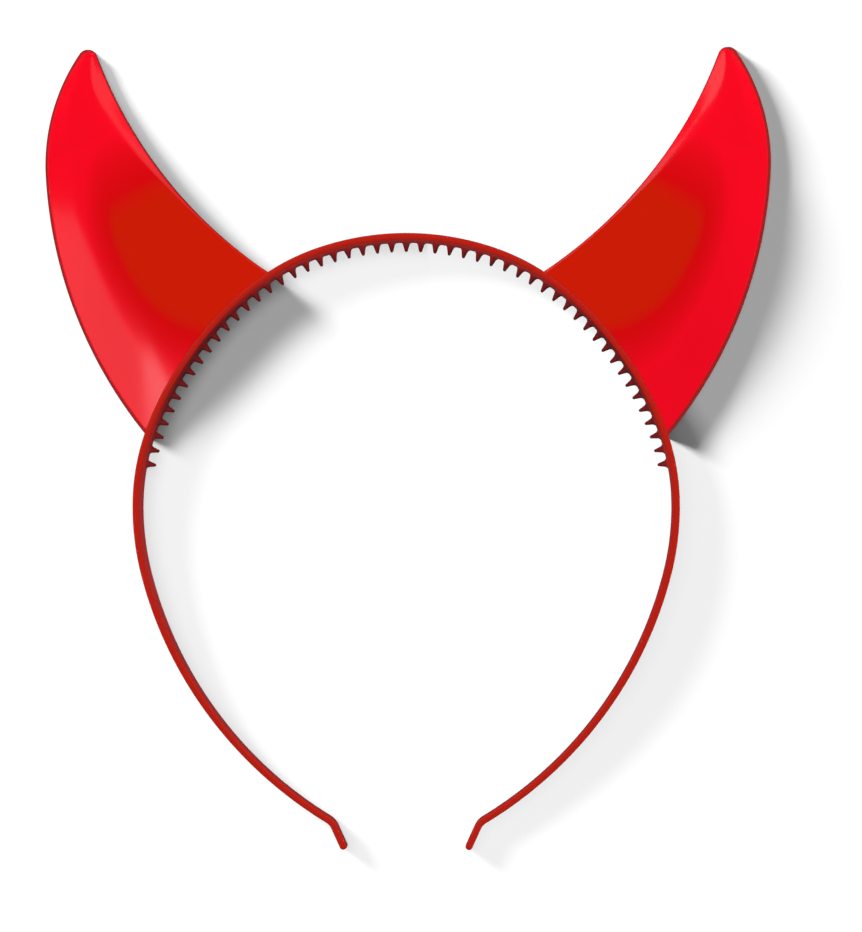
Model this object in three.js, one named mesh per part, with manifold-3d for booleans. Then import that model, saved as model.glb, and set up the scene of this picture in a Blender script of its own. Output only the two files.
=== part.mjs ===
// A red plastic horn headband: a springy band with comb teeth inside its crown,
// and a pair of open-backed horn shells that stand on the outside of it.
//
// Millimetres, +Z up. The headband lies on its flat back, its front faces +Z and its horns point
// to +Y. Plan positions are measured from the centre of the band's round crown. At the end the
// whole is moved so that the origin lies under the middle of its outline.

import * as THREE from "three";
import Module from "manifold-3d";

const wasm = await Module();
wasm.setup();

const degree = Math.PI / 180;
const { lerp } = THREE.MathUtils;

// Band: a strip on edge, round over the crown but drawn in a little along each horn's foot, then
// two flatter arms with flicked tips
const crownRadius = 65.8; // outer face
const shoulder = { dip: 1.35, fromTop: 54 * degree, reach: 34 * degree }; // where the crown is drawn in
const armRadius = 98.6; // outer face
const armStart = -14.3 * degree; // direction of the crown's end, where the right arm takes over
const armEnd = -58.8 * degree; // direction of the arm's end, seen from the arm's own centre
const bendRadius = 4; // middle of the strip
const tipLean = 24.5 * degree; // from straight down
const tipLength = 5.1;
const tipCorner = 0.8; // rounding of the tip's end
const bandThickness = 1.8; // over the crown
const tipThickness = 1.7;
const bandWidth = 9; // front to back, over the crown
const tipWidth = 5.5; // front to back, at the tips
const edgeBevel = 0.45;
const bandSteps = { crown: 36, arm: 14, bend: 4, tip: 1, corner: 3 };

// Comb: pointed teeth on the inside of the crown, each with a rounded foot and a rounded point
const toothCount = 51;
const toothPitch = 3.225 * degree;
const toothLength = 2.5;
const toothHalfWidth = { root: 0.95, point: 0.3 };
const toothHalfDepth = { root: 2.8, point: 1 };
const toothFoot = 0.8; // radius where a tooth leaves the strip
const toothPoint = 0.25; // length of the rounded point
const toothReaches = [0.02, 0.1, 0.3, 0.8, 2.25, 2.45]; // of a tooth's sections from the strip
const toothRoot = 1; // how deep a tooth is rooted in the strip

// Horns: the circles that the right horn's edges follow in plan
const jointGap = 0.3; // between a horn's foot and the band
const innerCentre = new THREE.Vector2(-28.3, 149.05);
const innerRadius = 111;
const outerLowCentre = new THREE.Vector2(-21.5, 87);
const outerLowRadius = 109.9;
const outerHighRadius = 48;
const outerJoin = -3.3 * degree; // direction in which the two outer circles touch
const pointRadius = 2.5;

// Horns: heights above the flat back, shares of a section's width, and the wall. The outer slope
// takes the width that the inner slope and the level part leave. A slope bends over in the bend
// share of its width and then runs straight down to the skirt.
const foot = { crest: 7.5, skirt: 3.2, innerSlope: 0.015, bend: 0.65 };
const point = { crest: 3.1, skirt: 2, innerSlope: 0.5, bend: 0.6 };
const level = { share: 0.47, middle: 0.28, reach: 0.44, power: 0.75 }; // widest at the middle
const ridgeShare = 0.02; // what is left of the level part near the point
const crestFall = { start: 0.42, bend: 0.6 }; // the crest falls like a slope from there to the point
const wedgePower = 2.4; // how late the inner slope widens towards the point
const innerPitch = 0.28; // fall of the inner slope for each step outwards
const innerBend = 0.7;
const innerDraft = 0.1; // how far the skirt leans in along the inner edge
const outerDraft = 0.9; // and along the outer edge
const wall = 1.6;
const pointEnd = 0.9; // share of the point's rounding that is swept before a small flat closes it
const hornSteps = { body: 24, point: 3, innerSlope: 4, level: 2, outerSlope: 8 };
const footPasses = 6; // of the search for a foot's corners, each closer to the band's outline

const redPlastic = { color: 0xd0161b, roughness: 0.24, metalness: 0 };

function direction(angle) {
  return new THREE.Vector2(Math.cos(angle), Math.sin(angle));
}

// Where two circles cross: of the two places, the one to the right of the way from first to second
function circlesMeet(first, firstRadius, second, secondRadius) {
  const between = second.clone().sub(first);
  const distance = between.length();
  const along = (distance ** 2 + firstRadius ** 2 - secondRadius ** 2) / (2 * distance);
  const aside = Math.sqrt(firstRadius ** 2 - along ** 2);
  const unit = between.divideScalar(distance);
  const sideways = new THREE.Vector2(unit.y, -unit.x);
  return first.clone().addScaledVector(unit, along).addScaledVector(sideways, aside);
}

function angleFrom(centre, point) {
  return point.clone().sub(centre).angle();
}

// Solid from shared points and triangles, with its faces turned outwards
function solidFrom(points, triangles) {
  let volume = 0;
  for (let i = 0; i < triangles.length; i += 3) {
    const [a, b, c] = [points[triangles[i]], points[triangles[i + 1]], points[triangles[i + 2]]];
    volume += a.dot(b.clone().cross(c));
  }
  const facing = volume < 0 ? triangles.slice().reverse() : triangles;
  const mesh = new wasm.Mesh({
    numProp: 3,
    vertProperties: new Float32Array(points.flatMap((point) => point.toArray())),
    triVerts: new Uint32Array(facing),
  });
  return new wasm.Manifold(mesh);
}

// Solid through a row of convex rings with equal numbers of points, with flat ends
function loft(rings) {
  const count = rings[0].length;
  const last = (rings.length - 1) * count;
  const triangles = [];
  for (let start = 0; start < last; start += count) {
    for (let side = 0; side < count; side += 1) {
      const here = start + side;
      const beside = start + ((side + 1) % count);
      triangles.push(here, beside, beside + count, here, beside + count, here + count);
    }
  }
  for (let side = 1; side + 1 < count; side += 1) {
    triangles.push(0, side + 1, side, last, last + side, last + side + 1);
  }
  return solidFrom(rings.flat(), triangles);
}

// Solid between two grids of points, one above the other, closed round their borders
function slab(top, bottom) {
  const rows = top.length;
  const columns = top[0].length;
  const under = rows * columns;
  const triangles = [];
  const quad = (a, b, c, d) => triangles.push(a, b, c, a, c, d);
  const at = (row, column) => row * columns + column;
  for (let row = 0; row + 1 < rows; row += 1) {
    for (let column = 0; column + 1 < columns; column += 1) {
      const a = at(row, column);
      const b = at(row, column + 1);
      const c = at(row + 1, column + 1);
      const d = at(row + 1, column);
      quad(a, b, c, d);
      quad(under + a, under + d, under + c, under + b);
    }
  }
  const border = (a, b) => quad(b, a, under + a, under + b);
  for (let row = 0; row + 1 < rows; row += 1) {
    border(at(row + 1, 0), at(row, 0));
    border(at(row, columns - 1), at(row + 1, columns - 1));
  }
  for (let column = 0; column + 1 < columns; column += 1) {
    border(at(0, column), at(0, column + 1));
    border(at(rows - 1, column + 1), at(rows - 1, column));
  }
  return solidFrom([...top.flat(), ...bottom.flat()], triangles);
}

function meshFrom(name, solid) {
  const { vertProperties, triVerts } = solid.getMesh();
  const geometry = new THREE.BufferGeometry();
  geometry.setAttribute("position", new THREE.BufferAttribute(vertProperties, 3));
  geometry.setIndex(new THREE.BufferAttribute(triVerts, 1));
  geometry.computeVertexNormals();
  const mesh = new THREE.Mesh(geometry, new THREE.MeshStandardMaterial(redPlastic));
  mesh.name = name;
  return mesh;
}

// Radius of the crown's outer face in a direction from its centre
function crownOutside(angle) {
  const fromMiddle = Math.abs(Math.abs(angle - Math.PI / 2) - shoulder.fromTop);
  const share = Math.min(1, fromMiddle / shoulder.reach);
  return crownRadius - shoulder.dip * Math.cos(share * Math.PI / 2) ** 2;
}

// The middle line of the crown's right half, from its top to the arm
class CrownCurve extends THREE.Curve {
  getPoint(share) {
    const angle = lerp(Math.PI / 2, armStart, share);
    return direction(angle).multiplyScalar(crownOutside(angle) - bandThickness / 2);
  }
}

// The right half of the strip's middle line, from the top of the crown to the tip
function bandLine() {
  const half = bandThickness / 2;
  const armCentre = direction(armStart).multiplyScalar(crownRadius - armRadius);
  const crown = new CrownCurve();
  const arm = new THREE.ArcCurve(armCentre.x, armCentre.y, armRadius - half, armStart, armEnd, true);
  const bendCentre = arm.getPoint(1).addScaledVector(direction(armEnd), bendRadius);
  const bend = new THREE.ArcCurve(
    bendCentre.x, bendCentre.y, bendRadius, armEnd + Math.PI, Math.PI - tipLean, false,
  );
  const tipStart = bend.getPoint(1);
  const tipEnd = tipStart.clone().addScaledVector(direction(-Math.PI / 2 - tipLean), tipLength);
  return { crown, arm, bend, tip: new THREE.LineCurve(tipStart, tipEnd) };
}

// Places along the right half: a point, the way out of the band, the half thickness and the width
function bandStations() {
  const stations = [];
  const addCurve = (curve, steps, taperAt) => {
    for (let step = stations.length ? 1 : 0; step <= steps; step += 1) {
      const share = step / steps;
      const tangent = curve.getTangent(share);
      stations.push({
        point: curve.getPoint(share),
        outward: new THREE.Vector2(-tangent.y, tangent.x),
        half: lerp(bandThickness, tipThickness, taperAt(share)) / 2,
        width: lerp(bandWidth, tipWidth, taperAt(share)),
      });
    }
  };
  const line = bandLine();
  addCurve(line.crown, bandSteps.crown, () => 0);
  addCurve(line.arm, bandSteps.arm, (share) => THREE.MathUtils.smoothstep(share, 0, 1));
  addCurve(line.bend, bandSteps.bend, () => 1);
  addCurve(line.tip, bandSteps.tip, () => 1);
  const end = stations.at(-1);
  const onward = line.tip.getTangent(1);
  for (let step = 1; step <= bandSteps.corner; step += 1) {
    const turn = (step / bandSteps.corner) * (Math.PI / 2);
    stations.push({
      ...end,
      point: end.point.clone().addScaledVector(onward, tipCorner * Math.sin(turn)),
      half: end.half - tipCorner * (1 - Math.cos(turn)),
    });
  }
  return stations;
}

// The strip's section at a station: a bevelled rectangle standing on the flat back
function bandRing({ point, outward, half, width }) {
  const bevel = Math.min(edgeBevel, half / 2);
  const outline = [
    [-half, bevel], [-half, width - bevel], [bevel - half, width], [half - bevel, width],
    [half, width - bevel], [half, bevel], [half - bevel, 0], [bevel - half, 0],
  ];
  return outline.map(([out, z]) => {
    const { x, y } = point.clone().addScaledVector(outward, out);
    return new THREE.Vector3(x, y, z);
  });
}

function mirrored(ring) {
  return ring.map((point) => new THREE.Vector3(-point.x, point.y, point.z));
}

// Half a tooth's width or depth at a reach from the strip
function toothHalf(reach, { root, point }) {
  const footShare = Math.max(0, 1 - reach / toothFoot);
  const fillet = toothFoot * (1 - Math.sqrt(1 - footShare ** 2));
  const pointShare = Math.max(0, 1 - (toothLength - reach) / toothPoint);
  return (lerp(root, point, reach / toothLength) + fillet) * Math.sqrt(1 - pointShare ** 2);
}

function toothSolid(angle) {
  const inward = direction(angle).negate();
  const sideways = direction(angle + Math.PI / 2);
  const rootRadius = crownOutside(angle) - bandThickness;
  const rings = [-toothRoot, ...toothReaches].map((reach) => {
    const outside = Math.max(reach, toothReaches[0]);
    const halfWidth = toothHalf(outside, toothHalfWidth);
    const halfDepth = toothHalf(outside, toothHalfDepth);
    const middle = inward.clone().multiplyScalar(reach - rootRadius);
    const corner = (side, end) => {
      const plan = middle.clone().addScaledVector(sideways, side * halfWidth);
      return new THREE.Vector3(plan.x, plan.y, bandWidth / 2 + end * halfDepth);
    };
    return [corner(-1, -1), corner(1, -1), corner(1, 1), corner(-1, 1)];
  });
  return loft(rings);
}

function bandSolid() {
  const right = bandStations().map(bandRing);
  const left = right.slice(1).map(mirrored).reverse();
  let solid = loft([...left, ...right]);
  for (let tooth = 0; tooth < toothCount; tooth += 1) {
    const angle = Math.PI / 2 + (tooth - (toothCount - 1) / 2) * toothPitch;
    solid = solid.add(toothSolid(angle));
  }
  return solid;
}

// The right horn's plan, with its edges and foot held in by margins: the foot along the band, the
// two edges, and the two halves of the rounded point
function hornPlan(margins) {
  const bandCentre = new THREE.Vector2();
  const footRadius = (angle) => crownOutside(angle) + jointGap + margins.foot;
  const footCorner = (centre, radius) => {
    let corner = circlesMeet(bandCentre, crownRadius, centre, radius);
    for (let pass = 0; pass < footPasses; pass += 1) {
      corner = circlesMeet(bandCentre, footRadius(corner.angle()), centre, radius);
    }
    return corner;
  };
  const inside = innerRadius + margins.inner;
  const lower = outerLowRadius - margins.outer;
  const upper = outerHighRadius - margins.outer;
  const round = pointRadius - (margins.inner + margins.outer) / 2;
  const outerHighCentre = outerLowCentre.clone()
    .addScaledVector(direction(outerJoin), outerLowRadius - outerHighRadius);
  const innerFoot = footCorner(innerCentre, inside);
  const outerFoot = footCorner(outerLowCentre, lower);
  const footPoint = (share) => {
    const angle = lerp(innerFoot.angle(), outerFoot.angle(), share);
    return direction(angle).multiplyScalar(footRadius(angle));
  };
  const pointCentre = circlesMeet(outerHighCentre, upper - round, innerCentre, inside + round);
  const innerEnd = angleFrom(innerCentre, pointCentre);
  const outerEnd = angleFrom(outerHighCentre, pointCentre);
  const pointAngle = (innerEnd - Math.PI + outerEnd) / 2;
  const arc = (centre, radius, from, to, clockwise) => (
    new THREE.ArcCurve(centre.x, centre.y, radius, from, to, clockwise)
  );
  const outer = new THREE.CurvePath();
  outer.add(arc(outerLowCentre, lower, angleFrom(outerLowCentre, outerFoot), outerJoin, false));
  outer.add(arc(outerHighCentre, upper, outerJoin, outerEnd, false));
  return {
    foot: { getPoint: footPoint },
    inner: arc(innerCentre, inside, angleFrom(innerCentre, innerFoot), innerEnd, false),
    outer,
    innerPoint: arc(pointCentre, round, innerEnd + Math.PI, pointAngle, true),
    outerPoint: arc(pointCentre, round, outerEnd, pointAngle, false),
  };
}

// Share of a section's width that is level, at a share of the horn's length
function levelPart(share) {
  const narrowing = ((share - level.middle) / level.reach) ** 2;
  return Math.max(ridgeShare, level.share * Math.max(0, 1 - narrowing) ** level.power);
}

// Sections across the horn, from its foot to its point: ends in plan, bow, heights and slopes
function hornSections(plan) {
  const sections = [];
  for (let step = 0; step <= hornSteps.body; step += 1) {
    const share = step / hornSteps.body;
    const fallen = Math.max(0, (share - crestFall.start) / (1 - crestFall.start));
    const wedge = THREE.MathUtils.smoothstep(share ** wedgePower, 0, 1);
    const innerSlope = lerp(foot.innerSlope, point.innerSlope, wedge);
    sections.push({
      inner: plan.inner.getPoint(share),
      outer: plan.outer.getPoint(share),
      bow: (1 - share) ** 2,
      crest: lerp(foot.crest, point.crest, slopeFall(fallen, crestFall.bend)),
      skirt: lerp(foot.skirt, point.skirt, share),
      innerSlope,
      outerSlope: 1 - innerSlope - levelPart(share),
      bend: lerp(foot.bend, point.bend, share),
    });
  }
  for (let step = 1; step <= hornSteps.point; step += 1) {
    const share = (step / hornSteps.point) * pointEnd;
    sections.push({
      ...point,
      inner: plan.innerPoint.getPoint(share),
      outer: plan.outerPoint.getPoint(share),
      bow: 0,
      crest: lerp(point.skirt, point.crest, Math.sqrt(1 - share ** 2)),
      outerSlope: 1 - point.innerSlope - ridgeShare,
    });
  }
  return sections;
}

// Plan point at a share of the way across a section, which bows with the band near the foot
function planPoint(plan, { inner, outer, bow }, across) {
  const chord = plan.foot.getPoint(0).lerp(plan.foot.getPoint(1), across);
  const bowed = plan.foot.getPoint(across).sub(chord);
  return inner.clone().lerp(outer, across).addScaledVector(bowed, bow);
}

// Share of a slope's whole fall at a share of the way down it
function slopeFall(share, bend) {
  const fallen = share < bend ? share ** 2 / (2 * bend) : share - bend / 2;
  return fallen / (1 - bend / 2);
}

// Height of the roof across a section of a given width: level, with a slope along both edges
function roofHeight({ crest, skirt, innerSlope, outerSlope, bend }, width, across) {
  const inner = slopeFall(Math.max(0, 1 - across / innerSlope), innerBend);
  const outer = slopeFall(Math.max(0, 1 - (1 - across) / outerSlope), bend);
  const innerDrop = Math.min(crest - skirt, innerPitch * innerSlope * width);
  return crest - innerDrop * inner - (crest - skirt) * outer;
}

// Shares of the way across a section: up the inner slope, over the level part, down the outer slope
function hornColumns({ innerSlope, outerSlope }) {
  const zones = [
    { from: 0, to: innerSlope, steps: hornSteps.innerSlope },
    { from: innerSlope, to: 1 - outerSlope, steps: hornSteps.level },
    { from: 1 - outerSlope, to: 1, steps: hornSteps.outerSlope },
  ];
  const columns = [0];
  for (const { from, to, steps } of zones) {
    for (let step = 1; step <= steps; step += 1) {
      columns.push(lerp(from, to, step / steps));
    }
  }
  return columns;
}

// Grid of points over a plan, on the right (side 1) or the left (side -1)
function hornGrid(plan, side, heightAt) {
  return hornSections(plan).map((section) => hornColumns(section).map((across) => {
    const { x, y } = planPoint(plan, section, across);
    return new THREE.Vector3(side * x, y, heightAt(section, across));
  }));
}

function hornSolid(side) {
  const roofPlan = hornPlan({ inner: innerDraft, outer: outerDraft, foot: 0 });
  const backPlan = hornPlan({ inner: 0, outer: 0, foot: 0 });
  const hollowPlan = hornPlan({ inner: wall, outer: wall, foot: wall });
  const roof = hornGrid(roofPlan, side, (section, across) => (
    roofHeight(section, section.inner.distanceTo(section.outer), across)
  ));
  const back = hornGrid(backPlan, side, () => 0);
  const ceiling = hornGrid(hollowPlan, side, (section, across) => {
    const innerStrip = wall - innerDraft;
    const outerStrip = wall - outerDraft;
    const width = innerStrip + section.inner.distanceTo(section.outer) + outerStrip;
    const over = lerp(innerStrip / width, 1 - outerStrip / width, across);
    return roofHeight(section, width, over) - wall;
  });
  const mouth = hornGrid(hollowPlan, side, () => -wall);
  return slab(roof, back).subtract(slab(ceiling, mouth));
}

const headband = new THREE.Group();
headband.add(meshFrom("band", bandSolid()));
headband.add(meshFrom("horn_left", hornSolid(-1)));
headband.add(meshFrom("horn_right", hornSolid(1)));

const outline = new THREE.Box3().setFromObject(headband);
headband.position.y = -(outline.min.y + outline.max.y) / 2;

export default headband;
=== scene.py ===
"""The looks of a red plastic horn headband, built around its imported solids.

The band and the horns are made again as fine, smooth meshes from the driving dimensions of the
solids, with rounded edges and a moulded plastic finish. Plan positions are in millimetres from the
centre of the band's round crown until a mesh is made, and then in metres in the model's own frame.
"""

import math

import bpy
import numpy as np
from mathutils import Matrix, Vector


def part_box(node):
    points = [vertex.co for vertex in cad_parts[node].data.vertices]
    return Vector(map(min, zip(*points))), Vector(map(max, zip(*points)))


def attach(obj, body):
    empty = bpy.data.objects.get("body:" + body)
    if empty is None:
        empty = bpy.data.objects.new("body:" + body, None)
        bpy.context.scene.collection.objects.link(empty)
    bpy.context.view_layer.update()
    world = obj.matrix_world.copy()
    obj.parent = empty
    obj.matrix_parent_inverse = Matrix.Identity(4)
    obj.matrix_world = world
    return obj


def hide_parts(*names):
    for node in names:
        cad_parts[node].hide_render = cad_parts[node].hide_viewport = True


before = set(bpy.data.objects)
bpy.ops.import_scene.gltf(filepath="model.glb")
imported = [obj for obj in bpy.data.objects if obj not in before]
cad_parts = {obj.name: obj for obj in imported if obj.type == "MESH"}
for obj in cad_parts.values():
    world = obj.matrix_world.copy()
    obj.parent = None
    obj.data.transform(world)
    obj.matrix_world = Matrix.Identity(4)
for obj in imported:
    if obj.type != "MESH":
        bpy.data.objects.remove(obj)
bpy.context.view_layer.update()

MM = 0.001
DEGREE = math.pi / 180

# Band: a strip on edge, round over the crown but drawn in a little along each horn's foot, then
# two flatter arms with flicked tips
CROWN_RADIUS = 65.8  # outer face
SHOULDER = {"dip": 1.35, "from_top": 54 * DEGREE, "reach": 34 * DEGREE}  # where the crown is drawn in
ARM_RADIUS = 98.6  # outer face
ARM_START = -14.3 * DEGREE  # direction of the crown's end, where the right arm takes over
ARM_END = -58.8 * DEGREE  # direction of the arm's end, seen from the arm's own centre
BEND_RADIUS = 4.0  # middle of the strip
TIP_LEAN = 24.5 * DEGREE  # from straight down
TIP_LENGTH = 5.1
TIP_CORNER = 0.8  # rounding of the tip's end
BAND_THICKNESS = 1.8  # over the crown
TIP_THICKNESS = 1.7
BAND_WIDTH = 9.0  # front to back, over the crown
TIP_WIDTH = 5.5  # front to back, at the tips
EDGE_RADIUS = 0.65
BAND_STEPS = {"crown": 14, "arm": 44, "bend": 14, "tip": 6, "corner": 6}
SECTION_STEPS = {"corner": 4, "front": 2, "inner": 22, "back": 2, "outer": 3}

# Comb: pointed teeth on the inside of the crown, each with a rounded foot and a rounded point
TOOTH_COUNT = 51
TOOTH_PITCH = 3.225 * DEGREE
TOOTH_LENGTH = 2.5
TOOTH_HALF_WIDTH = {"root": 0.95, "point": 0.3}
TOOTH_HALF_DEPTH = {"root": 2.8, "point": 1.0}
TOOTH_FOOT = 0.8  # radius where a tooth leaves the strip
TOOTH_POINT = 0.25  # length of the rounded point
TOOTH_SQUARENESS = 4  # power of the section's outline: 2 is an ellipse, more is squarer
TOOTH_STEPS = 14  # from a tooth's foot to its point
TOOTH_HALVINGS = 26  # of the search for a tooth's surface
TOOTH_LEAST_HALF = 1e-6  # keeps the section at a tooth's very point from vanishing
TOOTH_LEAST_REACH = 1e-4  # what stands off less than this belongs to the strip

# Horns: the circles that the right horn's edges follow in plan
JOINT_OVERLAP = 0.3  # of a horn's foot into the band, so that no gap shows between them
INNER_CENTRE = np.array([-28.3, 149.05])
INNER_RADIUS = 111.0
OUTER_LOW_CENTRE = np.array([-21.5, 87.0])
OUTER_LOW_RADIUS = 109.9
OUTER_HIGH_RADIUS = 48.0
OUTER_JOIN = -3.3 * DEGREE  # direction in which the two outer circles touch
POINT_RADIUS = 2.5

# Horns: heights above the flat back, shares of a section's width, and the wall. The outer slope
# takes the width that the inner slope and the level part leave. A slope bends over in the bend
# share of its width and then runs straight down to the skirt.
FOOT = {"crest": 7.5, "skirt": 3.2, "inner_slope": 0.015, "bend": 0.65}
POINT = {"crest": 3.1, "skirt": 2.0, "inner_slope": 0.5, "bend": 0.6}
LEVEL = {"share": 0.47, "middle": 0.28, "reach": 0.44, "power": 0.75}  # widest at the middle
RIDGE_SHARE = 0.02  # what is left of the level part near the point
CREST_FALL = {"start": 0.42, "bend": 0.6}  # the crest falls like a slope from there to the point
WEDGE_POWER = 2.4  # how late the inner slope widens towards the point
INNER_PITCH = 0.28  # fall of the inner slope for each step outwards
INNER_BEND = 0.7
DRAFT = {"inner": 0.1, "outer": 0.9, "foot": 0.0}  # how far the skirt leans in along each side
FILLET = {"inner": 0.3, "outer": 0.4, "foot": 0.2}  # rounding between the roof and the skirt
RIM_RADIUS = 0.25  # rounding of the rim that the horn lies on
WALL = 1.6
POINT_END = 0.8  # share of the point's rounding that is swept before a small flat closes it
HORN_STEPS = {"body": 120, "point": 10, "inner_slope": 12, "level": 14, "outer_slope": 30, "fillet": 6}
FOOT_PASSES = 6  # of the search for a foot's corners, each closer to the band's outline

# Colours of the plastic, most of them painted light and shade: the horns' level part as painted
# shade, their slopes lighter as painted light from one depth below it to the next, the steep walls as
# painted shade, the band's front, and the comb as painted shade from one distance inside the strip's
# middle to the next
LEVEL_SHADE_RED = (0.46, 0.0075, 0.0003, 1)
SLOPE_LIGHT_REDS = {
    (0.01, 0.15): (0.51, 0.001, 0.002, 1),
    (0.15, 1.3): (0.69, 0.001, 0.010, 1),
}
WALL_SHADE_RED = (0.26, 0.005, 0.005, 1)
WALL_SHADE_TILT = (35 * DEGREE, 55 * DEGREE)  # from level, where the walls' painted shade takes over
BAND_RED = (0.36, 0.010, 0.004, 1)
COMB_SHADE_REDS = {
    (0, 0.85): (0.24, 0.004, 0.004, 1),
    (0.9, 2.2): (0.085, 0.003, 0.004, 1),
}
COMB_SHADE_TILT = (15 * DEGREE, 50 * DEGREE)  # from level, where the comb's painted shade takes over

# Surface of the plastic
SHARP_ANGLE = 50 * DEGREE  # faces that meet at a larger angle keep a crease
PLASTIC_IOR = 1.49
SHINE = 0.5  # specular level
ROUGHNESS = (0.1, 0.2)  # from the smoothest clouds to the dullest
COMB_ROUGHNESS = 0.65
CLOUDS = {"scale": 60, "detail": 2}  # noise that varies the roughness
WAVES = {"scale": 30, "detail": 0, "depth": 0.15}
PEEL = {"scale": 600, "detail": 1, "depth": 0.004}

# Floor: two halves in metres, each with lamps of its own, because the two horns' shadows differ
FLOOR_REACH = 1.5
FLOOR_SEAM = 0.005  # to the right of the middle
FLOOR_DROP = 0.00005  # below the headband's flat back
FLOOR_GREY = 0.92
FLOOR_ROUGHNESS = 0.9
FLOOR_SHINE = 0.1

# Lamps: directions and rolls in degrees, distances and sizes in metres, powers in watts. Low lamps
# stand on the four sides, a wash is high above, and slanting lamps cast the shadows on the floor.
LOW_LAMPS = {"left": (180, 49), "right": (0, 49), "top": (90, 45), "bottom": (270, 22)}
LOW_LAMP = {"elevation": 20, "distance": 2.0, "size": (1.6, 0.25)}
RIM_LAMP = {"distance": 0.9, "size": (0.5, 0.12), "power": 0.25}
WASH = {"azimuth": 143, "elevation": 80, "distance": 2.0, "size": (1.5, 1.5)}
SLANT = {"distance": 8.0, "roll": 45}
WORLD_COLOUR = (1, 1, 1, 1)
WORLD_STRENGTH = 0.05

# Camera: nearly straight above the headband
PIXEL = 0.24  # width of a pixel on the plane of the band's front edge
FRAME_HEIGHT = 932  # pixels
SENSOR_HEIGHT = 36
CAMERA_AIM = (6.15, 9.7)  # the picture's middle on the same plane, from the crown's centre
CAMERA_OFFSET = (28, -16, 840)  # from the aim to the camera

# Places are given from the crown's centre, which lies this far along the model's Y axis
crown_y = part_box("band")[1].y / MM - CROWN_RADIUS


def mix(first, second, share):
    """The value at a share of the way from the first to the second."""
    return first + (second - first) * share


def smoothstep(share):
    """The share eased at both ends."""
    return share * share * (3 - 2 * share)


def direction(angle):
    """Unit vectors in plan at angles from the X axis."""
    return np.stack([np.cos(angle), np.sin(angle)], axis=-1)


def angle_from(centre, point):
    return math.atan2(point[1] - centre[1], point[0] - centre[0])


def arc(centre, radius, start, end):
    """A function that gives the points at shares of the way along an arc."""

    def points_at(share):
        return centre + radius * direction(mix(start, end, share))

    return points_at


def circles_meet(first, first_radius, second, second_radius):
    """Where two circles cross: the crossing to the right of the way from the first to the second."""
    between = second - first
    distance = math.hypot(*between)
    along = (distance**2 + first_radius**2 - second_radius**2) / (2 * distance)
    aside = math.sqrt(first_radius**2 - along**2)
    unit = between / distance
    sideways = np.array([unit[1], -unit[0]])
    return first + along * unit + aside * sideways


def grid_quads(index):
    """Quads between the neighbours in a grid of vertex numbers."""
    corners = (index[:-1, :-1], index[:-1, 1:], index[1:, 1:], index[1:, :-1])
    return np.stack(corners, axis=-1).reshape(-1, 4)


def add_piece(name, vertices, quads, triangles=()):
    """A smooth mesh piece in the model's frame, its faces turned outwards by the sign of its volume."""
    corners = np.asarray(quads)
    split = np.concatenate([corners[:, [0, 1, 2]], corners[:, [0, 2, 3]]])
    first, second, third = (vertices[split[:, side]] for side in range(3))
    volume = np.einsum("ij,ij->", first, np.cross(second, third)) / 6
    turn = 1 if volume > 0 else -1
    faces = [face[::turn] for face in [*corners.tolist(), *(list(face) for face in triangles)]]
    places = (vertices + (0, crown_y, 0)) * MM
    mesh = bpy.data.meshes.new(name)
    mesh.from_pydata(places.tolist(), [], faces)
    mesh.shade_smooth()
    mesh.set_sharp_from_angle(angle=SHARP_ANGLE)
    piece = bpy.data.objects.new(name, mesh)
    bpy.context.scene.collection.objects.link(piece)
    return piece


# Band


def crown_outside(angle):
    """Radius of the crown's outer face in a direction from its centre."""
    from_middle = np.abs(np.abs(angle - math.pi / 2) - SHOULDER["from_top"])
    share = np.minimum(1, from_middle / SHOULDER["reach"])
    return CROWN_RADIUS - SHOULDER["dip"] * np.cos(share * math.pi / 2) ** 2


def tooth_half(reach, ends):
    """Half a tooth's width or depth at a reach from the strip."""
    foot_share = np.clip(1 - reach / TOOTH_FOOT, 0, 1)
    fillet = TOOTH_FOOT * (1 - np.sqrt(1 - foot_share**2))
    point_share = np.clip(1 - (TOOTH_LENGTH - reach) / TOOTH_POINT, 0, 1)
    half = mix(ends["root"], ends["point"], reach / TOOTH_LENGTH) + fillet
    return half * np.sqrt(1 - point_share**2)


def tooth_reach(aside, up):
    """How far a tooth stands off the strip at places beside its middle and above it."""
    low = np.zeros(np.broadcast(aside, up).shape)
    high = np.full_like(low, TOOTH_LENGTH)
    for _ in range(TOOTH_HALVINGS):
        reach = (low + high) / 2
        half_width = np.maximum(tooth_half(reach, TOOTH_HALF_WIDTH), TOOTH_LEAST_HALF)
        half_depth = np.maximum(tooth_half(reach, TOOTH_HALF_DEPTH), TOOTH_LEAST_HALF)
        sideways = np.abs(aside / half_width) ** TOOTH_SQUARENESS
        upwards = np.abs(up / half_depth) ** TOOTH_SQUARENESS
        inside = sideways + upwards < 1
        low = np.where(inside, reach, low)
        high = np.where(inside, high, reach)
    return np.where(low < TOOTH_LEAST_REACH, 0, low)


def comb_turns():
    """Turns from the top of the crown, over the right half of the comb, close together on the teeth."""
    root_radius = CROWN_RADIUS - BAND_THICKNESS
    reaches = TOOTH_LENGTH * smoothstep(np.linspace(0, 1, TOOTH_STEPS))
    flank = tooth_half(reaches, TOOTH_HALF_WIDTH) / root_radius
    half_tooth = np.append(np.sort(flank), TOOTH_PITCH / 2)
    turns = [half_tooth]
    for tooth in range(1, TOOTH_COUNT // 2 + 1):
        middle = tooth * TOOTH_PITCH
        turns.append(middle - half_tooth[-2:0:-1])
        turns.append(middle + half_tooth)
    return np.concatenate(turns)


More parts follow.
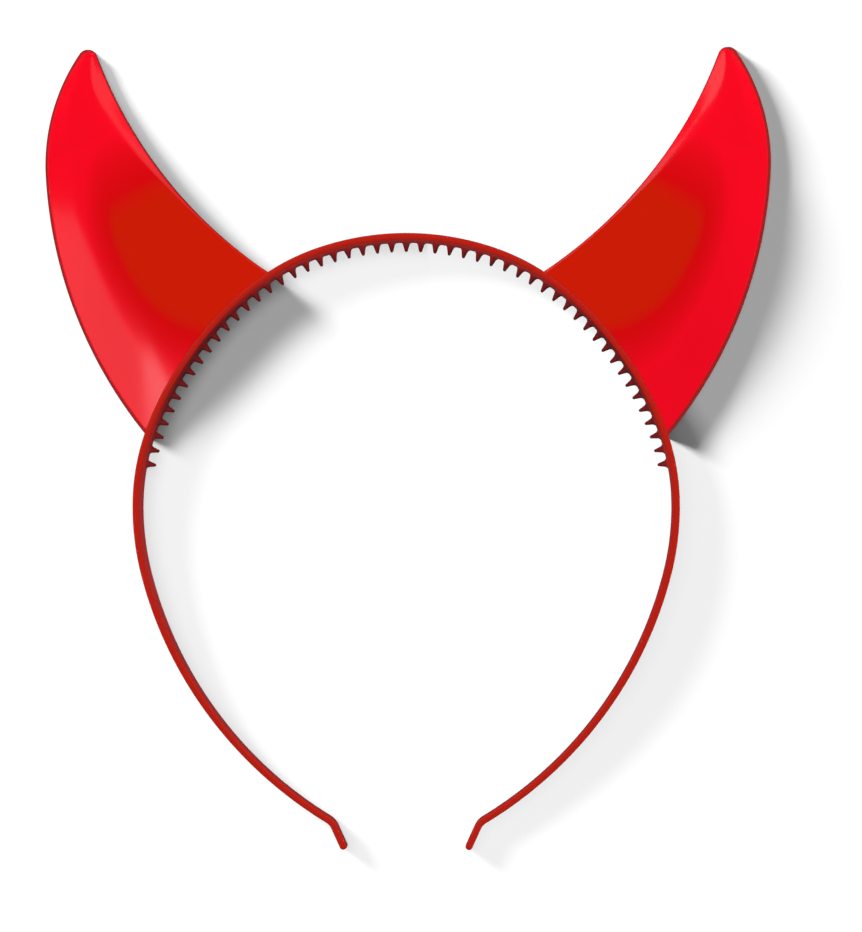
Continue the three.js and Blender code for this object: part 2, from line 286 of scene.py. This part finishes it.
def band_half_line():
    """The right half of the strip, from the top of the crown to the tip.

    Gives the middle of the strip, its outward directions, its taper, the inset of its rounded end
    and the turns that place the teeth.
    """
    half = BAND_THICKNESS / 2
    comb = comb_turns()
    crown_end = math.pi / 2 - ARM_START
    plain = np.linspace(comb[-1], crown_end, BAND_STEPS["crown"] + 1)[1:]
    angles = math.pi / 2 - np.concatenate([comb, plain])
    crown_out = direction(angles)
    crown = (crown_outside(angles) - half)[:, None] * crown_out

    arm_share = np.linspace(0, 1, BAND_STEPS["arm"] + 1)[1:]
    arm_out = direction(mix(ARM_START, ARM_END, arm_share))
    arm = (CROWN_RADIUS - ARM_RADIUS) * direction(ARM_START) + (ARM_RADIUS - half) * arm_out

    bend_share = np.linspace(0, 1, BAND_STEPS["bend"] + 1)[1:]
    bend_out = -direction(mix(ARM_END + math.pi, math.pi - TIP_LEAN, bend_share))
    bend = arm[-1] + BEND_RADIUS * direction(ARM_END) - BEND_RADIUS * bend_out

    onward = direction(-math.pi / 2 - TIP_LEAN)
    tip_share = np.linspace(0, 1, BAND_STEPS["tip"] + 1)[1:]
    tip = bend[-1] + TIP_LENGTH * tip_share[:, None] * onward

    corner_turn = np.linspace(0, math.pi / 2, BAND_STEPS["corner"] + 1)[1:]
    corner = tip[-1] + TIP_CORNER * np.sin(corner_turn)[:, None] * onward
    corner_inset = TIP_CORNER * (1 - np.cos(corner_turn))

    straight = len(tip) + len(corner)
    points = np.concatenate([crown, arm, bend, tip, corner])
    tip_out = np.repeat(bend_out[-1:], straight, axis=0)
    outward = np.concatenate([crown_out, arm_out, bend_out, tip_out])
    taper = np.concatenate([
        np.zeros(len(crown)), smoothstep(arm_share), np.ones(len(bend) + straight),
    ])
    inset = np.concatenate([np.zeros(len(points) - len(corner)), corner_inset])
    turns = np.full(len(points), comb[-1])
    turns[: len(comb)] = comb
    return points, outward, taper, inset, turns


def section_loop():
    """The strip's rounded section: shares of its straight reach, and parts of its corner radius."""
    sides = [
        ((1, 1), (-1, 1), SECTION_STEPS["front"]),
        ((-1, 1), (-1, -1), SECTION_STEPS["inner"]),
        ((-1, -1), (1, -1), SECTION_STEPS["back"]),
        ((1, -1), (1, 1), SECTION_STEPS["outer"]),
    ]
    digits = 12  # kept, so that a straight side's parts are exactly -1, 0 or 1
    reach = []
    rounding = []
    for quarter, (start, end, steps) in enumerate(sides):
        for step in range(SECTION_STEPS["corner"] + 1):
            angle = (quarter + step / SECTION_STEPS["corner"]) * math.pi / 2
            reach.append(start)
            rounding.append((math.cos(angle), math.sin(angle)))
        for step in range(1, steps):
            reach.append(mix(np.array(start), np.array(end), step / steps))
            rounding.append(rounding[-1])
    return np.array(reach, float), np.round(np.array(rounding), digits)


def band_mesh():
    """The whole strip as rings of its section, with the teeth raised on the inner face and closed ends."""
    points, outward, taper, inset, turns = band_half_line()
    mirror = np.array([-1, 1])
    points = np.concatenate([points[:0:-1] * mirror, points])
    outward = np.concatenate([outward[:0:-1] * mirror, outward])
    taper = np.concatenate([taper[:0:-1], taper])[:, None]
    inset = np.concatenate([inset[:0:-1], inset])[:, None]
    turns = np.concatenate([turns[:0:-1], turns])[:, None]

    reach, rounding = section_loop()
    width = mix(BAND_WIDTH, TIP_WIDTH, taper)
    half = mix(BAND_THICKNESS, TIP_THICKNESS, taper) / 2 - inset
    radius = np.minimum(EDGE_RADIUS, half)
    out = reach[:, 0] * (half - radius) + radius * rounding[:, 0]
    up = width / 2 + reach[:, 1] * (width / 2 - inset - radius) + radius * rounding[:, 1]

    root_radius = CROWN_RADIUS - BAND_THICKNESS
    aside = (np.mod(turns / TOOTH_PITCH + 0.5, 1) - 0.5) * TOOTH_PITCH * root_radius
    on_inner_face = rounding[:, 0] == -1
    out[:, on_inner_face] -= tooth_reach(aside, up[:, on_inner_face] - BAND_WIDTH / 2)

    plan = points[:, None, :] + out[:, :, None] * outward[:, None, :]
    rings = np.concatenate([plan, up[:, :, None]], axis=2)
    stations, around = out.shape
    index = np.arange(stations * around).reshape(stations, around)
    quads = grid_quads(np.concatenate([index, index[:, :1]], axis=1))

    left_end = stations * around
    right_end = left_end + 1
    triangles = []
    for side in range(around):
        beside = (side + 1) % around
        triangles.append((index[0, side], index[0, beside], left_end))
        triangles.append((index[-1, beside], index[-1, side], right_end))
    vertices = np.concatenate([rings.reshape(-1, 3), [rings[0].mean(axis=0), rings[-1].mean(axis=0)]])
    return vertices, quads, triangles


# Horns


def horn_plan(margins):
    """The right horn's plan with its sides held in by margins, as arcs from 0 to 1."""
    band_centre = np.zeros(2)
    inside = INNER_RADIUS + margins["inner"]
    lower = OUTER_LOW_RADIUS - margins["outer"]
    upper = OUTER_HIGH_RADIUS - margins["outer"]
    rounded = POINT_RADIUS - (margins["inner"] + margins["outer"]) / 2
    outer_high_centre = OUTER_LOW_CENTRE + (OUTER_LOW_RADIUS - OUTER_HIGH_RADIUS) * direction(OUTER_JOIN)

    def foot_radius(angle):
        return crown_outside(angle) - JOINT_OVERLAP + margins["foot"]

    def foot_corner(centre, radius):
        corner = circles_meet(band_centre, CROWN_RADIUS, centre, radius)
        for _ in range(FOOT_PASSES):
            corner = circles_meet(band_centre, foot_radius(angle_from(band_centre, corner)), centre, radius)
        return corner

    inner_foot = foot_corner(INNER_CENTRE, inside)
    outer_foot = foot_corner(OUTER_LOW_CENTRE, lower)
    foot_ends = [angle_from(band_centre, corner) for corner in (inner_foot, outer_foot)]

    def foot(share):
        angle = mix(*foot_ends, np.asarray(share))
        return foot_radius(angle)[..., None] * direction(angle)

    point_centre = circles_meet(outer_high_centre, upper - rounded, INNER_CENTRE, inside + rounded)
    inner_end = angle_from(INNER_CENTRE, point_centre)
    outer_end = angle_from(outer_high_centre, point_centre)
    outer_start = angle_from(OUTER_LOW_CENTRE, outer_foot)
    point_angle = (inner_end + math.pi + outer_end) / 2

    low_arc = arc(OUTER_LOW_CENTRE, lower, outer_start, OUTER_JOIN)
    high_arc = arc(outer_high_centre, upper, OUTER_JOIN, outer_end)
    low_length = lower * (OUTER_JOIN - outer_start)
    high_length = upper * (outer_end - OUTER_JOIN)

    def outer(share):
        travel = share * (low_length + high_length)
        return np.where(
            (travel < low_length)[:, None],
            low_arc(np.minimum(travel / low_length, 1)),
            high_arc(np.maximum((travel - low_length) / high_length, 0)),
        )

    return {
        "foot": foot,
        "inner": arc(INNER_CENTRE, inside, angle_from(INNER_CENTRE, inner_foot), inner_end),
        "outer": outer,
        "inner_point": arc(point_centre, rounded, inner_end + math.pi, point_angle),
        "outer_point": arc(point_centre, rounded, outer_end, point_angle),
    }


def horn_sections():
    """Heights, slopes and bow of the sections across the horn, from its foot to its point."""
    body = np.linspace(0, 1, HORN_STEPS["body"] + 1)[:, None]
    tip = np.linspace(0, POINT_END, HORN_STEPS["point"] + 1)[1:, None]
    fallen = np.clip((body - CREST_FALL["start"]) / (1 - CREST_FALL["start"]), 0, 1)
    fall = slope_fall(fallen, CREST_FALL["bend"])
    wedge = smoothstep(body**WEDGE_POWER)
    inner_slope = mix(FOOT["inner_slope"], POINT["inner_slope"], wedge)
    narrowing = np.clip(1 - ((body - LEVEL["middle"]) / LEVEL["reach"]) ** 2, 0, 1)
    level = np.maximum(RIDGE_SHARE, LEVEL["share"] * narrowing ** LEVEL["power"])
    outer_slope = 1 - inner_slope - level
    same = np.ones_like(tip)
    return {
        "body": body,
        "tip": tip,
        "bow": np.concatenate([(1 - body) ** 2, 0 * same]),
        "crest": np.concatenate([
            mix(FOOT["crest"], POINT["crest"], fall),
            mix(POINT["skirt"], POINT["crest"], np.sqrt(1 - tip**2)),
        ]),
        "skirt": np.concatenate([mix(FOOT["skirt"], POINT["skirt"], body), POINT["skirt"] * same]),
        "inner_slope": np.concatenate([inner_slope, inner_slope[-1] * same]),
        "outer_slope": np.concatenate([outer_slope, outer_slope[-1] * same]),
        "bend": np.concatenate([mix(FOOT["bend"], POINT["bend"], body), POINT["bend"] * same]),
    }


def horn_columns(sections):
    """Shares of the way across: up the inner slope, over the level part, down the outer slope."""
    rise = np.linspace(0, 1, HORN_STEPS["inner_slope"] + 1)
    level = np.linspace(0, 1, HORN_STEPS["level"] + 1)[1:]
    fall = np.linspace(0, 1, HORN_STEPS["outer_slope"] + 1)[1:]
    slope_top = sections["inner_slope"]
    slope_start = 1 - sections["outer_slope"]
    return np.concatenate([
        slope_top * rise,
        mix(slope_top, slope_start, level),
        mix(slope_start, 1, fall),
    ], axis=1)


def slope_fall(share, bend):
    """Share of a slope's whole fall at a share of the way down it."""
    fallen = np.where(share < bend, share**2 / (2 * bend), share - bend / 2)
    return fallen / (1 - bend / 2)


def roof_height(sections, width, across):
    """Height of the roof across sections of given widths: level, with a slope along both edges."""
    inner = np.maximum(0, 1 - across / sections["inner_slope"])
    outer = np.maximum(0, 1 - (1 - across) / sections["outer_slope"])
    outer_drop = sections["crest"] - sections["skirt"]
    inner_drop = np.minimum(outer_drop, INNER_PITCH * sections["inner_slope"] * width)
    inner_fall = inner_drop * slope_fall(inner, INNER_BEND)
    outer_fall = outer_drop * slope_fall(outer, sections["bend"])
    return sections["crest"] - inner_fall - outer_fall


def horn_grid(sections, across, margins):
    """Plan points of all sections, which bow with the band near the foot, and the sections' widths."""
    plan = horn_plan(margins)
    body = sections["body"][:, 0]
    tip = sections["tip"][:, 0]
    inner = np.concatenate([plan["inner"](body), plan["inner_point"](tip)])
    outer = np.concatenate([plan["outer"](body), plan["outer_point"](tip)])
    chord = mix(plan["foot"](0.0), plan["foot"](1.0), across[:, :, None])
    bowed = (plan["foot"](across) - chord) * sections["bow"][:, :, None]
    points = mix(inner[:, None, :], outer[:, None, :], across[:, :, None]) + bowed
    return points, np.linalg.norm(outer - inner, axis=1)[:, None]


def border(grid):
    """The entries round a grid's border: along the foot, up the outer edge and back down the inner."""
    return np.concatenate([grid[0], grid[1:, -1], grid[-1, -2::-1], grid[-2:0:-1, 0]])


def evenly(margin):
    """The same margin along the inner edge, the outer edge and the foot."""
    return {"inner": margin, "outer": margin, "foot": margin}


def horn_mesh():
    """The right horn: a roof and a ceiling, joined round their borders by the skirt and the rim."""
    sections = horn_sections()
    across = horn_columns(sections)

    def surface(margins, drop):
        points, width = horn_grid(sections, across, margins)
        inner_strip = margins["inner"] - DRAFT["inner"]
        outer_strip = margins["outer"] - DRAFT["outer"]
        whole = inner_strip + width + outer_strip
        over = mix(inner_strip / whole, 1 - outer_strip / whole, across)
        height = roof_height(sections, whole, over) - drop
        return np.concatenate([points, height[:, :, None]], axis=2)

    def ring(margins, height):
        points = border(horn_grid(sections, across, margins)[0])
        return np.column_stack([points, np.broadcast_to(height, len(points))])

    def rounded(start, corner, end):
        shares = np.linspace(0, 1, HORN_STEPS["fillet"] + 1)
        return [mix(mix(start, corner, share), mix(corner, end, share), share) for share in shares]

    roof = surface({side: DRAFT[side] + FILLET[side] for side in DRAFT}, 0)
    ceiling = surface(evenly(WALL), WALL)
    ceiling[:, :, 2] = np.maximum(ceiling[:, :, 2], 2 * RIM_RADIUS)

    roof_width = horn_grid(sections, across, DRAFT)[1]
    shoulder = ring(DRAFT, border(roof_height(sections, roof_width, across)))
    outer_rim = ring(evenly(0), 0)
    inner_rim = ring(evenly(WALL), 0)
    skirt_drop = (FILLET["outer"] / shoulder[:, 2])[:, None]
    skirt_rise = (RIM_RADIUS / shoulder[:, 2])[:, None]
    over = rounded(border(roof), shoulder, mix(shoulder, outer_rim, skirt_drop))
    under = rounded(mix(outer_rim, shoulder, skirt_rise), outer_rim, ring(evenly(RIM_RADIUS), 0))
    inside = rounded(ring(evenly(WALL - RIM_RADIUS), 0), inner_rim, ring(evenly(WALL), RIM_RADIUS))
    between = np.stack([*over[1:], *under, *inside])

    rows, columns = across.shape
    roof_index = np.arange(rows * columns).reshape(rows, columns)
    ceiling_index = roof_index + rows * columns
    between_index = 2 * rows * columns + np.arange(between.shape[0] * between.shape[1])
    strips = np.vstack([
        border(roof_index),
        between_index.reshape(between.shape[:2]),
        border(ceiling_index),
    ])
    closed = np.concatenate([strips, strips[:, :1]], axis=1)
    quads = np.concatenate([grid_quads(roof_index), grid_quads(closed), grid_quads(ceiling_index)[:, ::-1]])
    vertices = np.concatenate([roof.reshape(-1, 3), ceiling.reshape(-1, 3), between.reshape(-1, 3)])
    return vertices, quads


# Finish


def add_node(tree, kind, inputs=None, **settings):
    """A new shader node, with its settings made and its inputs set or linked."""
    node = tree.nodes.new(kind)
    for name, value in settings.items():
        setattr(node, name, value)
    for name, value in (inputs or {}).items():
        if isinstance(value, bpy.types.NodeSocket):
            tree.links.new(value, node.inputs[name])
        else:
            node.inputs[name].default_value = value
    return node


def red_plastic(name, colour, slope_light_colours=None, comb=False):
    """Glossy moulded plastic: one colour with painted light and shade, faint flow waves and a fine peel.

    Colours for places below the level top paint light down the slopes, the steep walls take a painted
    shade, and with comb the steep faces inside the crown take a painted shade and a duller surface.
    """
    material = bpy.data.materials.new(name)
    material.use_nodes = True
    tree = material.node_tree
    shader = tree.nodes["Principled BSDF"]
    shader.inputs["IOR"].default_value = PLASTIC_IOR
    shader.inputs["Specular IOR Level"].default_value = SHINE
    place = add_node(tree, "ShaderNodeTexCoord").outputs["Object"]

    def noise(pattern):
        inputs = {"Vector": place, "Scale": pattern["scale"], "Detail": pattern["detail"]}
        return add_node(tree, "ShaderNodeTexNoise", inputs).outputs["Fac"]

    def ranged(value, start, end, first=0, last=1):
        bounds = {"From Min": start, "From Max": end, "To Min": first, "To Max": last}
        return add_node(tree, "ShaderNodeMapRange", {"Value": value, **bounds}).outputs["Result"]

    def blend(factor, first, second, kind="FLOAT"):
        inputs = {"Factor": factor, "A": first, "B": second}
        return add_node(tree, "ShaderNodeMix", inputs, data_type=kind).outputs["Result"]

    def vector_math(operation, *values):
        return add_node(tree, "ShaderNodeVectorMath", dict(enumerate(values)), operation=operation)

    def scalar_math(operation, *values):
        node = add_node(tree, "ShaderNodeMath", dict(enumerate(values)), operation=operation)
        return node.outputs["Value"]

    normal = add_node(tree, "ShaderNodeNewGeometry").outputs["Normal"]
    upward = add_node(tree, "ShaderNodeSeparateXYZ", {"Vector": normal}).outputs["Z"]
    tilt = scalar_math("ARCCOSINE", upward)
    height = add_node(tree, "ShaderNodeSeparateXYZ", {"Vector": place}).outputs["Z"]
    # Painted light: places below the level top take lighter colours down the slopes, over the level top's
    # painted shade
    for (start, end), slope_light_colour in (slope_light_colours or {}).items():
        slope_light_mask = ranged(height, (FOOT["crest"] - start) * MM, (FOOT["crest"] - end) * MM)
        colour = blend(slope_light_mask, colour, slope_light_colour, "RGBA")
    # Painted shade on the steep walls
    colour = blend(ranged(tilt, *WALL_SHADE_TILT), colour, WALL_SHADE_RED, "RGBA")
    roughness = ranged(noise(CLOUDS), 0, 1, *ROUGHNESS)

    if comb:
        from_crown = vector_math("SUBTRACT", place, (0, crown_y * MM, 0)).outputs["Vector"]
        in_plan = vector_math("MULTIPLY", from_crown, (1, 1, 0)).outputs["Vector"]
        radius = vector_math("LENGTH", in_plan).outputs["Value"]
        middle = (CROWN_RADIUS - BAND_THICKNESS / 2) * MM
        steep = ranged(tilt, *COMB_SHADE_TILT)
        # Painted shade on the steep faces inside the crown, darker further in, which are also made duller
        for (start, end), comb_shade_colour in COMB_SHADE_REDS.items():
            inside = ranged(radius, middle - start * MM, middle - end * MM)
            comb_shade_mask = scalar_math("MULTIPLY", inside, steep)
            colour = blend(comb_shade_mask, colour, comb_shade_colour, "RGBA")
            roughness = blend(comb_shade_mask, roughness, COMB_ROUGHNESS)
    tree.links.new(colour, shader.inputs["Base Color"])
    tree.links.new(roughness, shader.inputs["Roughness"])

    relief = {}
    for pattern in (WAVES, PEEL):
        inputs = {"Height": noise(pattern), "Distance": pattern["depth"] * MM, **relief}
        relief = {"Normal": add_node(tree, "ShaderNodeBump", inputs).outputs["Normal"]}
    tree.links.new(relief["Normal"], shader.inputs["Normal"])
    return material


# Scene


def add_floor(name, left, right, material):
    """A plain part of the floor just under the headband's flat back, which the plastic doesn't mirror."""
    near, far = -FLOOR_REACH, FLOOR_REACH
    corners = [(left, near, 0), (right, near, 0), (right, far, 0), (left, far, 0)]
    mesh = bpy.data.meshes.new(name)
    mesh.from_pydata(corners, [], [(0, 1, 2, 3)])
    mesh.materials.append(material)
    floor = bpy.data.objects.new(name, mesh)
    floor.location.z = -FLOOR_DROP
    floor.visible_glossy = False
    bpy.context.scene.collection.objects.link(floor)
    return floor


def floor_white():
    """A dull white without a pattern."""
    material = bpy.data.materials.new("floor_white")
    material.use_nodes = True
    shader = material.node_tree.nodes["Principled BSDF"]
    shader.inputs["Base Color"].default_value = (FLOOR_GREY, FLOOR_GREY, FLOOR_GREY, 1)
    shader.inputs["Roughness"].default_value = FLOOR_ROUGHNESS
    shader.inputs["Specular IOR Level"].default_value = FLOOR_SHINE
    return material


def facing(place, target, up_hint):
    """The turn that makes a camera or a lamp at a place face a target."""
    back = (Vector(place) - Vector(target)).normalized()
    right = Vector(up_hint).cross(back).normalized()
    up = back.cross(right)
    return Matrix((right, up, back)).transposed()


def add_softbox(name, lit, azimuth, elevation, distance, size, power, roll=0, gloss=False, blockers=None):
    """A soft lamp that faces the headband from a direction, for a collection of objects only.

    It is turned about its own axis by the roll. With gloss it is seen as a highlight only, and
    without it it lights only the bare colour. With blockers, only those objects cast shadows in
    its light.
    """
    lamp = bpy.data.lights.new(name, "AREA")
    lamp.shape = "RECTANGLE"
    lamp.size, lamp.size_y = size
    lamp.energy = power
    plan = math.cos(elevation * DEGREE) * direction(azimuth * DEGREE)
    place = distance * Vector((*plan, math.sin(elevation * DEGREE)))
    softbox = bpy.data.objects.new(name, lamp)
    turn = facing(place, (0, 0, 0), (0, 0, 1)).to_4x4() @ Matrix.Rotation(roll * DEGREE, 4, "Z")
    softbox.matrix_world = Matrix.Translation(place) @ turn
    softbox.visible_camera = False
    softbox.visible_glossy = gloss
    softbox.visible_diffuse = not gloss
    softbox.light_linking.receiver_collection = lit
    softbox.light_linking.blocker_collection = blockers
    bpy.context.scene.collection.objects.link(softbox)


def add_world():
    """A faint even light from all round."""
    world = bpy.data.worlds.new("studio")
    world.use_nodes = True
    background = world.node_tree.nodes["Background"]
    background.inputs["Color"].default_value = WORLD_COLOUR
    background.inputs["Strength"].default_value = WORLD_STRENGTH
    bpy.context.scene.world = world


def add_camera():
    """A camera nearly straight above the headband, framed as in the photograph."""
    aim_x, aim_y = CAMERA_AIM
    target = Vector((aim_x, crown_y + aim_y, BAND_WIDTH)) * MM
    place = target + Vector(CAMERA_OFFSET) * MM
    data = bpy.data.cameras.new("camera")
    data.sensor_fit = "VERTICAL"
    data.sensor_height = SENSOR_HEIGHT
    data.lens = SENSOR_HEIGHT * (place - target).length / (FRAME_HEIGHT * PIXEL * MM)
    camera = bpy.data.objects.new("camera", data)
    camera.matrix_world = Matrix.Translation(place) @ facing(place, target, (0, 1, 0)).to_4x4()
    bpy.context.scene.collection.objects.link(camera)
    bpy.context.scene.camera = camera


def gathered(name, objects):
    """A collection of objects that a lamp lights, or that cast shadows in its light."""
    collection = bpy.data.collections.new(name)
    for member in objects:
        collection.objects.link(member)
    return collection


band_vertices, band_quads, band_triangles = band_mesh()
horn_vertices, horn_quads = horn_mesh()
pieces = {
    "band": add_piece("band_moulding", band_vertices, band_quads, band_triangles),
    "horn_left": add_piece("horn_left_shell", horn_vertices * (-1, 1, 1), horn_quads),
    "horn_right": add_piece("horn_right_shell", horn_vertices, horn_quads),
}
horn_plastic = red_plastic("red_plastic", LEVEL_SHADE_RED, SLOPE_LIGHT_REDS)
band_plastic = red_plastic("red_plastic_band", BAND_RED, comb=True)
for node, piece in pieces.items():
    piece.data.materials.append(band_plastic if node == "band" else horn_plastic)
    piece.visible_diffuse = False  # keeps red light off the floor
    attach(piece, "root")
    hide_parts(node)

white = floor_white()
floors = [
    add_floor("floor_left", -FLOOR_REACH, FLOOR_SEAM, white),
    add_floor("floor_right", FLOOR_SEAM, FLOOR_REACH, white),
]
band = gathered("band", [pieces["band"]])
left_horn = gathered("left_horn", [pieces["horn_left"]])
right_horn = gathered("right_horn", [pieces["horn_right"]])
horns = gathered("horns", [pieces["horn_left"], pieces["horn_right"]])

# The band would shade the horns' feet, so the horns have low lamps of their own
for side, (azimuth, power) in LOW_LAMPS.items():
    add_softbox(f"{side}_horns", horns, azimuth, power=power, blockers=horns, **LOW_LAMP)
    add_softbox(f"{side}_band", band, azimuth, power=power, **LOW_LAMP)

# Highlights on the horns' slopes and along the band's front edge
add_softbox(
    "sheen_left", left_horn, azimuth=197, elevation=44.3, distance=0.84, size=(0.75, 0.24),
    power=0.56, roll=51, gloss=True,
)
add_softbox(
    "glint_left", left_horn, azimuth=213, elevation=60, distance=0.82, size=(0.14, 0.14),
    power=0.17, gloss=True,
)
add_softbox(
    "edge_left", left_horn, azimuth=66, elevation=46, distance=0.8, size=(0.3, 0.34),
    power=0.25, gloss=True,
)
add_softbox(
    "sheen_right", right_horn, azimuth=124, elevation=50, distance=0.8, size=(0.32, 0.44),
    power=0.6, gloss=True,
)
add_softbox("rim_left", band, azimuth=141, elevation=34, gloss=True, **RIM_LAMP)
add_softbox("rim_right", band, azimuth=42, elevation=37, gloss=True, **RIM_LAMP)

# Light and shadows on the floor
floor_left, floor_right = (gathered(half.name, [half]) for half in floors)
whole_floor = gathered("floor", floors)
add_softbox("wash_left", floor_left, power=14.8, **WASH)
add_softbox("wash_right", floor_right, power=5.9, **WASH)
add_softbox(
    "slant_left", floor_left, azimuth=143, elevation=22.5, size=(2.2, 2.2), power=1014,
    blockers=horns, **SLANT,
)
add_softbox(
    "slant_right", floor_right, azimuth=150, elevation=15.5, size=(1.8, 1.8), power=1910,
    blockers=horns, **SLANT,
)
add_softbox(
    "slant_band", whole_floor, azimuth=143, elevation=28, size=(2.0, 2.0), power=290,
    blockers=band, **SLANT,
)
add_world()
add_camera()
bpy.context.scene.view_settings.view_transform = "Standard"
